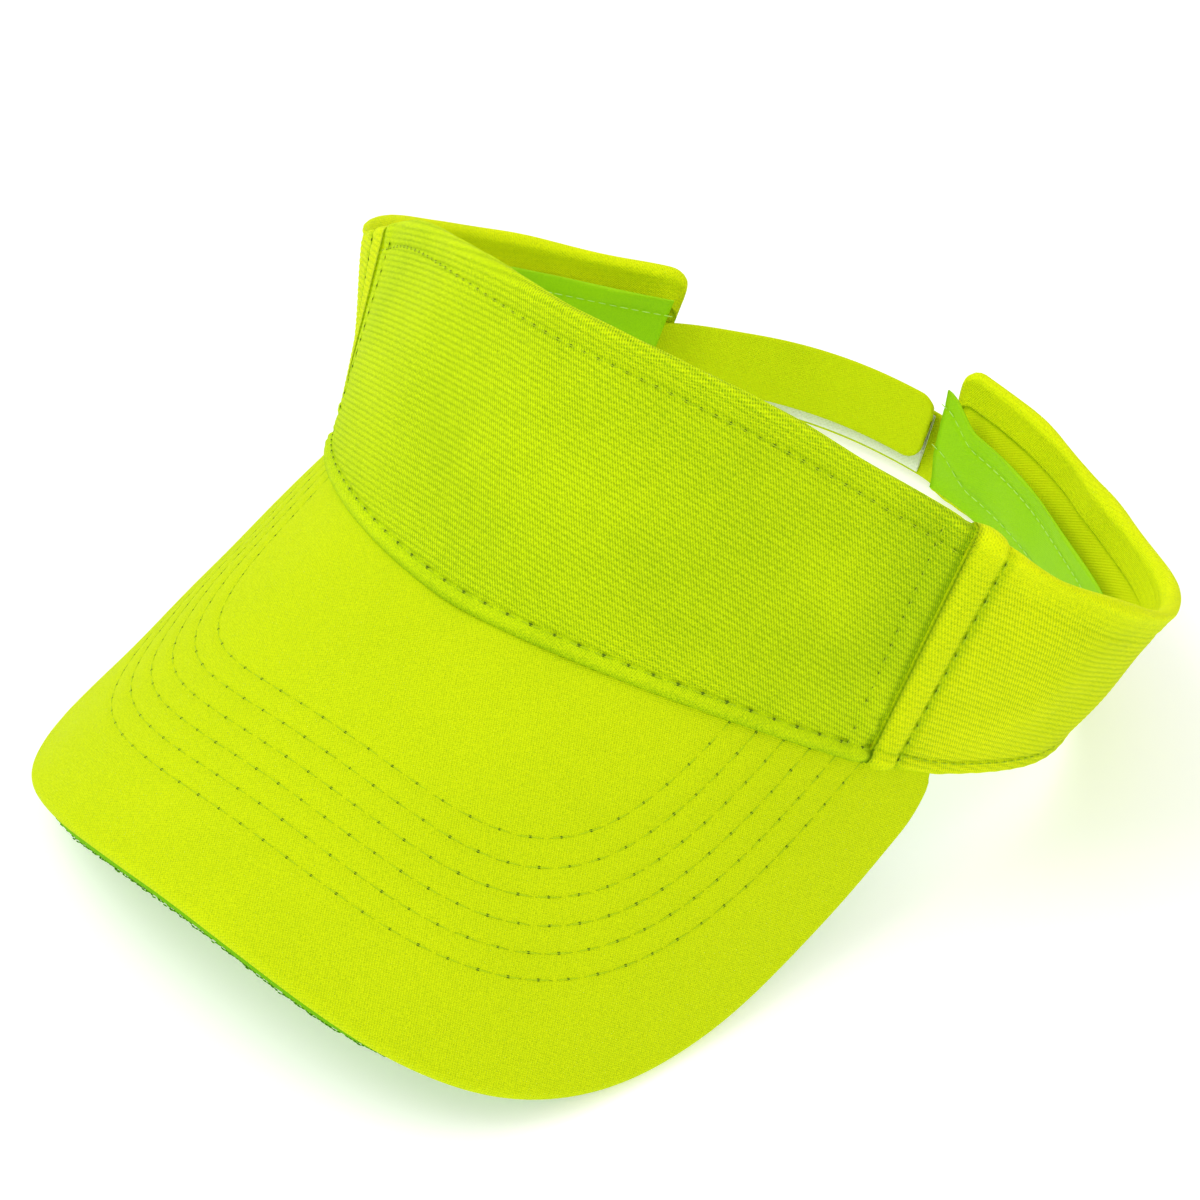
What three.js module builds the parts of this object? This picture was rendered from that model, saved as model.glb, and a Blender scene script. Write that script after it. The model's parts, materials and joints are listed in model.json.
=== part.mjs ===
// A sun visor, as it stands on a table: a stiff curved brim, a ribbed front panel, two soft side
// panels and a hook-and-loop strap at the back. Millimetres, +Z up, brim towards -Y, the wearer's
// left towards +X. The band is drawn in its own frame and then tilted back until it stands.
import * as THREE from "three";

// ---- Driving dimensions ----

// The head band, seen from above: a rounded oval, fuller at the back.
const bandHalfWidth = 90;
const bandFrontDepth = 99;
const bandRearDepth = 75;
const bandFrontRoundness = 1.83;
const bandRearRoundness = 2.13;

// Where things sit round the band, in degrees from the middle of the front.
const seamAngle = 58;
const brimEndAngle = 69.5;
const leftPanelEnd = 173;
const rightPanelEnd = 137;
const leftStrapEnd = 208;
const rightStrapEnd = 175.5;

// The wall of the band.
const frontHeight = 64;
const rearHeight = 33.5;
const heightFade = 168;
const bottomRise = 21;
const frontLean = -5;
const sideFlare = 24;
const flareAngle = 87;
const flareSpread = 54;

// The brim: bent round a cylinder, a little wider than the band, whose lines slope down to the front.
const brimSlope = 43;
const brimBendSlack = 4;
const brimBend = bandHalfWidth + brimBendSlack;
const brimShoulder = 2.6;
const brimReach = 125;
const brimSquareness = 3.3;
const brimThickness = 4;
const brimTurnUnder = 2;

// Cloth, board and tape.
const clothThickness = 1;
const stiffenerThickness = 0.8;
const liningThickness = 0.8;
const brimClothThickness = 0.8;
const tapeThickness = 0.5;
const sweatbandThickness = 1;
const sweatbandHeight = 34;
const hemWidth = 8;
const hemThickness = 0.9;
const seamTapeWidth = 7;
const gap = 0.3;
const brimClearance = 0.6;

// The closure.
const strapHeight = 17;
const strapInset = 5.5;
const strapDrop = 3;
const strapThickness = 1.2;
const strapCorner = 5;
const hookThickness = 0.8;
const hookMargin = 1.5;
const jointGap = 0.6;

// ---- Small helpers ----

const rad = THREE.MathUtils.degToRad;
const degrees = THREE.MathUtils.radToDeg;
const lerp = THREE.MathUtils.lerp;
const clamp = THREE.MathUtils.clamp;

const ease = (t) => (1 - Math.cos(Math.PI * clamp(t, 0, 1))) / 2;
const power = (value, exponent) => Math.sign(value) * Math.abs(value) ** exponent;

function steps(from, to, count) {
  return Array.from({ length: count + 1 }, (_, i) => lerp(from, to, i / count));
}

const counting = (count) => Array.from({ length: count + 1 }, (_, i) => i);

// A closed sheet: at(u, v, side) gives a point of its back face (side 0) or front face (side 1).
function slab(at, us, vs) {
  const positions = [];
  const index = [];
  for (const side of [0, 1]) {
    for (const u of us) {
      for (const v of vs) positions.push(...at(u, v, side));
    }
  }
  const id = (i, j, side) => (side * us.length + i) * vs.length + j;
  const quad = (a, b, c, d) => index.push(a, b, c, a, c, d);
  const lastRow = us.length - 1;
  const lastColumn = vs.length - 1;
  for (let i = 0; i < lastRow; i++) {
    for (let j = 0; j < lastColumn; j++) {
      quad(id(i, j, 1), id(i + 1, j, 1), id(i + 1, j + 1, 1), id(i, j + 1, 1));
      quad(id(i, j, 0), id(i, j + 1, 0), id(i + 1, j + 1, 0), id(i + 1, j, 0));
    }
    quad(id(i, 0, 0), id(i + 1, 0, 0), id(i + 1, 0, 1), id(i, 0, 1));
    quad(id(i, lastColumn, 1), id(i + 1, lastColumn, 1), id(i + 1, lastColumn, 0), id(i, lastColumn, 0));
  }
  for (let j = 0; j < lastColumn; j++) {
    quad(id(0, j, 1), id(0, j + 1, 1), id(0, j + 1, 0), id(0, j, 0));
    quad(id(lastRow, j, 0), id(lastRow, j + 1, 0), id(lastRow, j + 1, 1), id(lastRow, j, 1));
  }
  const geometry = new THREE.BufferGeometry();
  geometry.setAttribute("position", new THREE.Float32BufferAttribute(positions, 3));
  geometry.setIndex(index);
  geometry.computeVertexNormals();
  return geometry;
}

// ---- The shape of the brim's upper face ----

// How far the bent brim falls away at a distance x from its middle line.
const brimFall = (x) => brimBend - Math.sqrt(Math.max(brimBend ** 2 - x ** 2, 0));

// The band's outline in plan, moved outwards by offset.
function outline(angle, offset = 0) {
  const point = (turn) => {
    const front = Math.cos(turn) > 0;
    const exponent = 2 / (front ? bandFrontRoundness : bandRearRoundness);
    const depth = front ? bandFrontDepth : bandRearDepth;
    return [bandHalfWidth * power(Math.sin(turn), exponent), -depth * power(Math.cos(turn), exponent)];
  };
  const turn = rad(angle);
  const small = 1e-3;
  const [ax, ay] = point(turn - small);
  const [bx, by] = point(turn + small);
  const length = Math.hypot(bx - ax, by - ay);
  const normal = [(by - ay) / length, (ax - bx) / length];
  const [x, y] = point(turn);
  return { x: x + normal[0] * offset, y: y + normal[1] * offset, normal };
}

const brimEnd = outline(brimEndAngle);

// Flat pattern of the brim: across is measured round the bend, along is measured down its lines.
function flatFromPlan(x, y) {
  const fall = brimFall(x) - brimFall(brimEnd.x);
  const along = (brimEnd.y + fall * Math.sin(rad(brimSlope)) - y) / Math.cos(rad(brimSlope));
  return [brimBend * Math.asin(clamp(x / brimBend, -1, 1)), along];
}

function brimPoint([across, along], offset) {
  const turn = across / brimBend;
  const x = (brimBend + offset) * Math.sin(turn);
  const fall = brimBend - (brimBend + offset) * Math.cos(turn) - brimFall(brimEnd.x);
  const slope = rad(brimSlope);
  const y = brimEnd.y - along * Math.cos(slope) + fall * Math.sin(slope);
  return [x, y, -along * Math.sin(slope) - fall * Math.cos(slope)];
}

// ---- The shape of the band's wall ----

function bottomHeight(angle) {
  const turn = Math.abs(angle > 180 ? angle - 360 : angle);
  if (turn < brimEndAngle) {
    const { x, y } = outline(angle);
    return brimPoint(flatFromPlan(x, y), 0)[2];
  }
  return bottomRise * ease((turn - flareAngle) / (180 - flareAngle));
}

function wallHeight(angle) {
  const turn = Math.abs(angle > 180 ? angle - 360 : angle);
  return lerp(frontHeight, rearHeight, ease(turn / heightFade));
}

function wallLean(angle) {
  const turn = Math.abs(angle > 180 ? angle - 360 : angle);
  return rad(frontLean + sideFlare * ease(1 - Math.abs(turn - flareAngle) / flareSpread));
}

// A point of the wall: height is measured up the cloth, offset outwards from its outer face.
function wallPoint(angle, height, offset) {
  const lean = wallLean(angle);
  const out = offset + height * Math.sin(lean);
  const { x, y } = outline(angle, out);
  return [x, y, bottomHeight(angle) + height * Math.cos(lean)];
}

// A sheet of the wall between two angles, two heights given as functions, and two offsets.
function wallSheet({ from, to, bottom, top, outer, thickness, columns, rows, shift = () => 0 }) {
  const at = (angle, share, side) => {
    const height = lerp(bottom(angle), top(angle), share);
    return wallPoint(angle, height, outer - (1 - side) * thickness + shift(angle));
  };
  return slab(at, steps(from, to, columns), steps(0, 1, rows));
}

// ---- Layers of the wall, from the outer face inwards ----

const layer = {};
layer.shell = 0;
layer.stiffener = layer.shell - clothThickness - gap;
layer.sideLining = layer.stiffener;
layer.frontLining = layer.stiffener - stiffenerThickness - gap;
layer.sideHem = layer.sideLining - liningThickness - gap;
layer.frontHem = layer.frontLining - liningThickness - gap;
layer.seamTape = layer.frontHem;
layer.sweatband = layer.frontHem - Math.max(hemThickness, tapeThickness) - gap;

const material = (color, roughness) => new THREE.MeshStandardMaterial({ color, roughness, metalness: 0 });
const frontCloth = material(0xc1df1c, 0.85);
const sideCloth = material(0xbad211, 0.85);
const brimCloth = material(0xd3eb17, 0.8);
const underCloth = material(0x97c81e, 0.85);
const innerCloth = material(0xd5e816, 0.85);
const sweatCloth = material(0x97d712, 0.6);
const boardPlastic = material(0xe8e8e2, 0.5);
const buckram = material(0xf2f2ec, 0.9);
const hookTape = material(0xe4e6dc, 0.9);
const loopTape = material(0xc9e02a, 0.95);
const seamBinding = material(0xd9ea2a, 0.85);

const band = new THREE.Group();
function add(name, geometry, itsMaterial) {
  const mesh = new THREE.Mesh(geometry, itsMaterial);
  mesh.name = name;
  band.add(mesh);
}

// ---- Brim: a plastic board between a top cover, turned under at the edge, and an under cover ----

const brimColumns = 36;
const brimRows = 5;
const brimRadius = brimThickness / 2;

// Points spread evenly along a curve of the flat pattern.
function spread(pointAt, count) {
  const curve = new THREE.Curve();
  curve.getPoint = (t) => {
    const [x, y] = pointAt(t);
    return new THREE.Vector2(x, y);
  };
  curve.arcLengthDivisions = 400;
  return curve.getSpacedPoints(count).map((p) => [p.x, p.y]);
}

function brimInner(share) {
  const { x, y } = outline(lerp(brimEndAngle, -brimEndAngle, share), gap);
  return flatFromPlan(x, y);
}

const brimHalfSpan = flatFromPlan(brimEnd.x, brimEnd.y)[0] + brimShoulder;

function brimOuter(share) {
  const turn = rad(lerp(90, -90, share));
  const exponent = 2 / brimSquareness;
  return [brimHalfSpan * power(Math.sin(turn), exponent), brimReach * power(Math.cos(turn), exponent)];
}

const innerEdge = spread(brimInner, brimColumns);
const outerEdge = spread(brimOuter, brimColumns);

// The outward direction of the edge at each column, square to the edge in the flat pattern.
const edgeDirection = outerEdge.map((_, i) => {
  const before = outerEdge[Math.max(i - 1, 0)];
  const after = outerEdge[Math.min(i + 1, brimColumns)];
  const length = Math.hypot(after[0] - before[0], after[1] - before[1]);
  return [(before[1] - after[1]) / length, (after[0] - before[0]) / length].map((value) => -value);
});

// A point of the brim: share runs from the band to the edge, out is a distance past the edge.
function brimAt(column, share, out, offset) {
  const flat = [0, 1].map(
    (k) => lerp(innerEdge[column][k], outerEdge[column][k], share) + edgeDirection[column][k] * out,
  );
  return brimPoint(flat, offset);
}

// A brim sheet of constant thickness that stops a distance short of the edge.
function brimSheet(top, thickness, short) {
  const at = (column, share, side) => brimAt(column, share, -short * share, top - (1 - side) * thickness);
  return slab(at, counting(brimColumns), steps(0, 1, brimRows));
}

// The top cover follows a path: along the top, round the edge, and a little way back underneath.
function brimTopCover() {
  const path = steps(0, 1, brimRows).map((share) => ({ share, turn: 90, back: 0 }));
  for (const turn of steps(54, -90, 4)) path.push({ share: 1, turn, back: 0 });
  path.push({ share: 1, turn: -90, back: brimTurnUnder });
  const at = (column, step, side) => {
    const { share, turn, back } = path[step];
    const reach = brimRadius - (1 - side) * brimClothThickness;
    const out = reach * Math.cos(rad(turn)) - back - brimRadius * share;
    return brimAt(column, share, out, -brimRadius + reach * Math.sin(rad(turn)));
  };
  return slab(at, counting(brimColumns), counting(path.length - 1));
}

const boardTop = -brimClothThickness - gap;
const boardThickness = brimThickness - 2 * (brimClothThickness + gap);
const underTop = -brimThickness + brimClothThickness;
const underShort = brimRadius + brimTurnUnder + gap;
add("brim_top_cover", brimTopCover(), brimCloth);
add("brim_board", brimSheet(boardTop, boardThickness, brimRadius), boardPlastic);
add("brim_under_cover", brimSheet(underTop, brimClothThickness, underShort), underCloth);

// ---- Front panel: ribbed shell, buckram stiffener, lining, turned-in top hem and sweatband ----

const jointAngle = degrees(jointGap / bandHalfWidth);
const frontEdge = seamAngle - jointAngle / 2;
const sideStart = seamAngle + jointAngle / 2;
const depthBelow = (depth) => () => -depth;
const belowTop = (distance) => (angle) => wallHeight(angle) - distance;

function frontSheet(name, itsMaterial, outer, thickness, bottom, top, rows) {
  const geometry = wallSheet({
    from: -frontEdge, to: frontEdge, bottom, top, outer, thickness, columns: 28, rows,
  });
  add(name, geometry, itsMaterial);
}

frontSheet("front_shell", frontCloth, layer.shell, clothThickness, () => brimClearance, belowTop(0), 4);
frontSheet("front_stiffener", buckram, layer.stiffener, stiffenerThickness, depthBelow(1), belowTop(1.5), 4);
frontSheet("front_lining", innerCloth, layer.frontLining, liningThickness, depthBelow(2), belowTop(1), 4);
frontSheet("front_top_hem", frontCloth, layer.frontHem, hemThickness, belowTop(hemWidth), belowTop(0.4), 1);
frontSheet(
  "sweatband_front", sweatCloth, layer.sweatband, sweatbandThickness,
  depthBelow(brimThickness - 1), () => sweatbandHeight, 2,
);

// A narrow tape covers the raw edges of each seam, on the front panel's side of it.
for (const [side, sign] of [["left", 1], ["right", -1]]) {
  const width = degrees(seamTapeWidth / bandHalfWidth);
  const angles = [sign * (frontEdge - width), sign * frontEdge].sort((a, b) => a - b);
  const geometry = wallSheet({
    from: angles[0], to: angles[1], bottom: () => 1, top: belowTop(hemWidth + 1),
    outer: layer.seamTape, thickness: tapeThickness, columns: 2, rows: 4,
  });
  add(`seam_tape_${side}`, geometry, seamBinding);
}

// ---- Side panels: shell, lining, turned-in top hem and sweatband on each side ----

function sidePanel(side, sign, end) {
  const angles = [sign * sideStart, sign * end].sort((a, b) => a - b);
  const sheet = (name, itsMaterial, outer, thickness, bottom, top, rows) => {
    const geometry = wallSheet({
      from: angles[0], to: angles[1], bottom, top, outer, thickness,
      columns: Math.round((end - sideStart) / 4.6), rows,
    });
    add(`${side}_${name}`, geometry, itsMaterial);
  };
  const foot = (height) => () => brimClearance + height;
  sheet("side_shell", sideCloth, layer.shell, clothThickness, foot(0), belowTop(0), 4);
  sheet("side_lining", innerCloth, layer.sideLining, liningThickness, foot(1), belowTop(1), 3);
  sheet("top_hem", sideCloth, layer.sideHem, hemThickness, belowTop(hemWidth), belowTop(0.4), 1);
  const bandTop = (angle) => Math.min(sweatbandHeight, wallHeight(angle) - hemWidth);
  sheet("sweatband", sweatCloth, layer.sweatband, sweatbandThickness, foot(1), bandTop, 2);
}

sidePanel("left", 1, leftPanelEnd);
sidePanel("right", -1, rightPanelEnd);

// ---- Closure: two straps that lie on each other, hook tape on one and loop tape on the other ----

const hookOuter = layer.shell - strapThickness - gap;
const loopOuter = hookOuter - hookThickness - gap;
const rightStrapOuter = loopOuter - hookThickness - gap;
const rootOuter = layer.shell - clothThickness;

// How much of a strap's height is left at a distance from its rounded tip.
function tipLoss(distance) {
  const inside = clamp(strapCorner - distance, 0, strapCorner);
  return strapCorner - Math.sqrt(strapCorner ** 2 - inside ** 2);
}

// Length of the band's outline between two angles near the back.
function arcLength(from, to) {
  const points = steps(from, to, 24).map((angle) => outline(angle));
  return points.slice(1).reduce(
    (sum, p, i) => sum + Math.hypot(p.x - points[i].x, p.y - points[i].y), 0,
  );
}

function strapSheet({ from, to, tip, bottom, margin, outer, thickness, columns, shift }) {
  const loss = (angle) => tipLoss(Math.max(arcLength(angle, tip) - margin, 0));
  const angles = steps(0, 1, columns).map((share) => lerp(from, to, ease(share)));
  const at = (angle, share, side) => {
    const low = bottom + margin + loss(angle);
    const high = bottom + strapHeight - margin - loss(angle);
    return wallPoint(angle, lerp(low, high, share), outer - (1 - side) * thickness + shift(angle));
  };
  return slab(at, angles, steps(0, 1, 2));
}

// The left strap lies outside and carries the hooks on its inner face.
const leftStrapStart = leftPanelEnd + jointAngle;
const straight = () => 0;
add("left_strap", strapSheet({
  from: leftStrapStart, to: leftStrapEnd, tip: leftStrapEnd, bottom: strapInset - strapDrop,
  margin: 0, outer: layer.shell, thickness: strapThickness, columns: 12, shift: straight,
}), sideCloth);
add("left_hook_tape", strapSheet({
  from: rightStrapEnd + jointAngle, to: leftStrapEnd - jointAngle, tip: leftStrapEnd,
  bottom: strapInset - strapDrop, margin: hookMargin, outer: hookOuter, thickness: hookThickness,
  columns: 10, shift: straight,
}), hookTape);

// The right strap starts between the layers of its panel and passes inside the left strap.
const rightStrapStart = 360 - rightPanelEnd - jointAngle;
const inward = (angle) =>
  (rootOuter - rightStrapOuter) * ease((angle - leftStrapEnd) / (rightStrapStart - leftStrapEnd));
add("right_strap", strapSheet({
  from: rightStrapEnd, to: rightStrapStart, tip: rightStrapEnd, bottom: strapInset,
  margin: 0, outer: rightStrapOuter, thickness: strapThickness, columns: 16, shift: inward,
}), sideCloth);
add("right_loop_tape", strapSheet({
  from: rightStrapEnd + jointAngle, to: leftStrapEnd - jointAngle, tip: rightStrapEnd,
  bottom: strapInset, margin: hookMargin, outer: loopOuter, thickness: hookThickness,
  columns: 10, shift: inward,
}), loopTape);

// ---- Stand the visor on its brim and its side panels ----

const lowest = (points, tilt) =>
  Math.min(...points.map(([, y, z]) => z * Math.cos(tilt) - y * Math.sin(tilt)));

function standingTilt() {
  const rim = counting(brimColumns).map((column) => brimAt(column, 1, -brimRadius, -brimThickness));
  const feet = steps(brimEndAngle, 180, 60).map((angle) => wallPoint(angle, brimClearance, 0));
  let low = 0;
  let high = Math.PI / 3;
  for (let i = 0; i < 50; i++) {
    const middle = (low + high) / 2;
    if (lowest(rim, middle) < lowest(feet, middle)) low = middle;
    else high = middle;
  }
  return low;
}

band.rotation.x = -standingTilt();
const visor = new THREE.Group();
visor.add(band);
visor.updateMatrixWorld(true);
const box = new THREE.Box3().setFromObject(visor, true);
const middle = box.getCenter(new THREE.Vector3());
band.position.set(-middle.x, -middle.y, -box.min.z);

export default visor;
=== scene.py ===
import json
import math

import bpy
import numpy as np
from mathutils import Matrix, Vector


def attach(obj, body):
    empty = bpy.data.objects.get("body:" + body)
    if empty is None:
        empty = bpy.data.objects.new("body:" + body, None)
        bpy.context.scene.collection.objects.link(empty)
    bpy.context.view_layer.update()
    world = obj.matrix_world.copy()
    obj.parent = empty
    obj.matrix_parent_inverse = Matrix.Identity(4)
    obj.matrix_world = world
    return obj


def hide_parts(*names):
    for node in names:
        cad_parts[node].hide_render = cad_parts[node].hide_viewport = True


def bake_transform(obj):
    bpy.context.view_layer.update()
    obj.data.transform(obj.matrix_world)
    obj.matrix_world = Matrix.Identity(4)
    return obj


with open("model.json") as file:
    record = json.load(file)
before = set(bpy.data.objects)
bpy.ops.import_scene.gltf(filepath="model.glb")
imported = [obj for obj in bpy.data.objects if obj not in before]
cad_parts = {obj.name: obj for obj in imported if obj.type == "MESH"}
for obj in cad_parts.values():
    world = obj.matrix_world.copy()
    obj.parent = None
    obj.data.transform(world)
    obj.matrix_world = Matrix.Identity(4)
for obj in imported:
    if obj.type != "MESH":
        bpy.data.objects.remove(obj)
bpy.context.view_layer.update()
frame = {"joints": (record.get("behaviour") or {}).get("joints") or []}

# ---- Studio ----
# A pale table top, one broad soft lamp above the wearer's right, a weaker one on the other side and
# an even white room. The camera stands in front of the wearer's left, looking down on the visor.

aim = Vector((0.00958, -0.01285, 0.04108))
azimuth = math.radians(37.33)
elevation = math.radians(40.27)
roll = math.radians(-4.81)
distance = 0.5565

back = Vector((
    math.sin(azimuth) * math.cos(elevation),
    -math.cos(azimuth) * math.cos(elevation),
    math.sin(elevation),
))
level = Vector((math.cos(azimuth), math.sin(azimuth), 0))
upward = back.cross(level)
camera_x = math.cos(roll) * level - math.sin(roll) * upward
camera_y = math.sin(roll) * level + math.cos(roll) * upward
camera = bpy.data.objects.new("camera", bpy.data.cameras.new("camera"))
camera.data.lens = 79.67
camera.data.sensor_width = 36
camera.data.clip_start = 0.01
camera.matrix_world = Matrix.Translation(aim + back * distance) @ Matrix(
    (camera_x, camera_y, back)
).transposed().to_4x4()
bpy.context.scene.collection.objects.link(camera)
bpy.context.scene.camera = camera
bpy.context.scene.view_settings.view_transform = "Standard"


def area_lamp(name, place, target, size, watts):
    light = bpy.data.lights.new(name, "AREA")
    light.size = size
    light.energy = watts
    lamp = bpy.data.objects.new(name, light)
    lamp.location = place
    lamp.rotation_mode = "QUATERNION"
    lamp.rotation_quaternion = (Vector(target) - Vector(place)).to_track_quat("-Z", "Y")
    bpy.context.scene.collection.objects.link(lamp)


area_lamp("key", (-0.55, -0.35, 0.95), (0, 0, 0.04), 0.7, 5.2)
area_lamp("fill", (0.8, -0.7, 0.5), (0, 0, 0.05), 0.8, 2.2)

room = bpy.data.worlds.new("room")
room.use_nodes = True
room.node_tree.nodes["Background"].inputs["Color"].default_value = (1, 1, 1, 1)
room.node_tree.nodes["Background"].inputs["Strength"].default_value = 0.8
bpy.context.scene.world = room

floor_paint = bpy.data.materials.new("table_top")
floor_paint.use_nodes = True
floor_shader = floor_paint.node_tree.nodes["Principled BSDF"]
floor_shader.inputs["Base Color"].default_value = (0.93, 0.93, 0.92, 1)
floor_shader.inputs["Roughness"].default_value = 0.7
floor_shader.inputs["Emission Color"].default_value = (1, 1, 1, 1)
floor_shader.inputs["Emission Strength"].default_value = 0.22
floor_mesh = bpy.data.meshes.new("floor")
floor_mesh.from_pydata([(-4, -4, 0), (4, -4, 0), (4, 4, 0), (-4, 4, 0)], [], [(0, 1, 2, 3)])
floor_mesh.materials.append(floor_paint)
floor = bpy.data.objects.new("floor", floor_mesh)
bpy.context.scene.collection.objects.link(floor)

# ---- Brim covers ----
# A curved plastic board between two cloth covers, sewn face to face and turned out, so that their
# seam runs round the rim. The top cover is a fine bright knit, the under cover a greener one.

band_half_width = 90
band_front_depth = 99
band_rear_depth = 75
band_front_roundness = 1.83
band_rear_roundness = 2.13
brim_end_angle = 69.5
brim_slope = math.radians(43)
brim_bend = 94
brim_shoulder = 2.6
brim_reach = 125
brim_squareness = 3.3
brim_thickness = 4
first_stitch_row = 19.8
stitch_row_spacing = 5.35
row_corner_sharpening = 0.034
end_draw_in = 3.4
end_draw_length = 14
layer_gap = 0.3
stand_tilt = math.radians(23.1634)
stand_shift = (0.0119, 38.1534, 11.5422)


def ease(t):
    return (1 - np.cos(np.pi * np.clip(t, 0, 1))) / 2


def power(value, exponent):
    return np.sign(value) * np.abs(value) ** exponent


def to_table(x, y, z):
    """A point of the tilted band, in millimetres, as the visor stands on the table, in metres."""
    x, y, z = np.broadcast_arrays(x, y, z)
    c, s = math.cos(stand_tilt), math.sin(stand_tilt)
    turned = (x, y * c + z * s, z * c - y * s)
    return np.stack([part + move for part, move in zip(turned, stand_shift)], -1) / 1000


def outline(angle, offset=0.0):
    """The band seen from above, at an angle from the middle of the front, moved outwards."""
    def point(turn):
        front = np.cos(turn) > 0
        exponent = np.where(front, 2 / band_front_roundness, 2 / band_rear_roundness)
        depth = np.where(front, band_front_depth, band_rear_depth)
        return band_half_width * power(np.sin(turn), exponent), -depth * power(np.cos(turn), exponent)
    turn = np.radians(angle)
    ax, ay = point(turn - 1e-3)
    bx, by = point(turn + 1e-3)
    length = np.hypot(bx - ax, by - ay)
    x, y = point(turn)
    return x + (by - ay) / length * offset, y + (ax - bx) / length * offset


def brim_fall(x):
    return brim_bend - np.sqrt(np.maximum(brim_bend ** 2 - x ** 2, 0))


brim_end_x, brim_end_y = outline(brim_end_angle)


def flat_from_plan(x, y):
    fall = brim_fall(x) - brim_fall(brim_end_x)
    along = (brim_end_y + fall * math.sin(brim_slope) - y) / math.cos(brim_slope)
    return brim_bend * np.arcsin(np.clip(x / brim_bend, -1, 1)), along


def brim_point(across, along, offset):
    turn = across / brim_bend
    fall = brim_bend - (brim_bend + offset) * np.cos(turn) - brim_fall(brim_end_x)
    return (
        (brim_bend + offset) * np.sin(turn),
        brim_end_y - along * math.cos(brim_slope) + fall * math.sin(brim_slope),
        -along * math.sin(brim_slope) - fall * math.cos(brim_slope),
    )


def distance_along(points):
    return np.concatenate([[0], np.cumsum(np.linalg.norm(np.diff(points, axis=0), axis=1))])


def evenly(points, count):
    """The polyline's points, spread evenly along it."""
    run = distance_along(points)
    places = np.linspace(0, run[-1], count)
    return np.stack([np.interp(places, run, points[:, k]) for k in range(points.shape[1])], -1)


brim_half_span = flat_from_plan(brim_end_x, brim_end_y)[0] + brim_shoulder


def squareness(inset):
    """The stitch rows further in turn their corners a little more sharply than the rim."""
    return brim_squareness + row_corner_sharpening * np.maximum(inset - first_stitch_row, 0)


def edge_curve(inset, count=1500):
    """The brim's outline in its flat pattern, drawn in by a distance, from the wearer's left."""
    turn = np.radians(np.linspace(90, -90, count))
    exponent = 2 / squareness(inset)
    return np.stack([
        (brim_half_span - inset) * power(np.sin(turn), exponent),
        (brim_reach - inset) * power(np.cos(turn), exponent),
    ], -1)


brim_columns = 240
brim_outer = evenly(edge_curve(0), brim_columns)
near_end = np.clip(1 - brim_outer[:, 1] / end_draw_length, 0, 1)
brim_outer[:, 0] -= np.sign(brim_outer[:, 0]) * end_draw_in * near_end ** 2
brim_tuck = 1.1
brim_inner = evenly(np.stack(flat_from_plan(
    *outline(np.linspace(brim_end_angle, -brim_end_angle, 800), -brim_tuck)
), -1), brim_columns)
brim_along_edge = np.gradient(brim_outer, axis=0)
brim_along_edge /= np.linalg.norm(brim_along_edge, axis=1, keepdims=True)
brim_outward = np.stack([-brim_along_edge[:, 1], brim_along_edge[:, 0]], -1)
if (brim_outward[brim_columns // 2] * brim_outer[brim_columns // 2]).sum() < 0:
    brim_outward = -brim_outward

# At its two end cuts the whole brim thins to an edge within a short run.
brim_end_fold = 4.0
least_shut = 0.12
brim_run = distance_along(brim_outer)
brim_from_end = np.minimum(brim_run, brim_run[-1] - brim_run)
brim_shut = np.sqrt(1 - (1 - np.clip(brim_from_end / brim_end_fold, 0, 1)) ** 2)
brim_shut = np.maximum(brim_shut, least_shut)

stitch_rows = [first_stitch_row + stitch_row_spacing * k for k in range(6)]


def inset_of(across, along):
    """How far inside the brim's outline a point of the flat pattern lies."""
    low = np.zeros_like(across)
    high = np.full_like(across, brim_half_span - 1)
    for _ in range(30):
        middle = (low + high) / 2
        inside = (
            np.abs(across / (brim_half_span - middle)) ** squareness(middle)
            + np.abs(along / (brim_reach - middle)) ** squareness(middle)
        ) < 1
        low = np.where(inside, middle, low)
        high = np.where(inside, high, middle)
    return (low + high) / 2


def soft_noise(u, v, size, seed):
    """A smooth, seeded waviness between about -1 and 1; size is its usual wavelength."""
    draw = np.random.RandomState(seed)
    total = np.zeros(np.broadcast(u, v).shape)
    for _ in range(14):
        turn = draw.uniform(0, 2 * math.pi)
        wave = draw.uniform(0.7, 1.6) * 2 * math.pi / size
        total += np.sin((u * math.cos(turn) + v * math.sin(turn)) * wave + draw.uniform(0, 6.3))
    return total / 4


def smooth(edge0, edge1, value):
    t = np.clip((value - edge0) / (edge1 - edge0), 0, 1)
    return t * t * (3 - 2 * t)


def dip(value, width):
    return np.exp(-(value / width) ** 2)


def link(name, mesh):
    piece = bpy.data.objects.new(name, mesh)
    bpy.context.scene.collection.objects.link(piece)
    return piece


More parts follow.
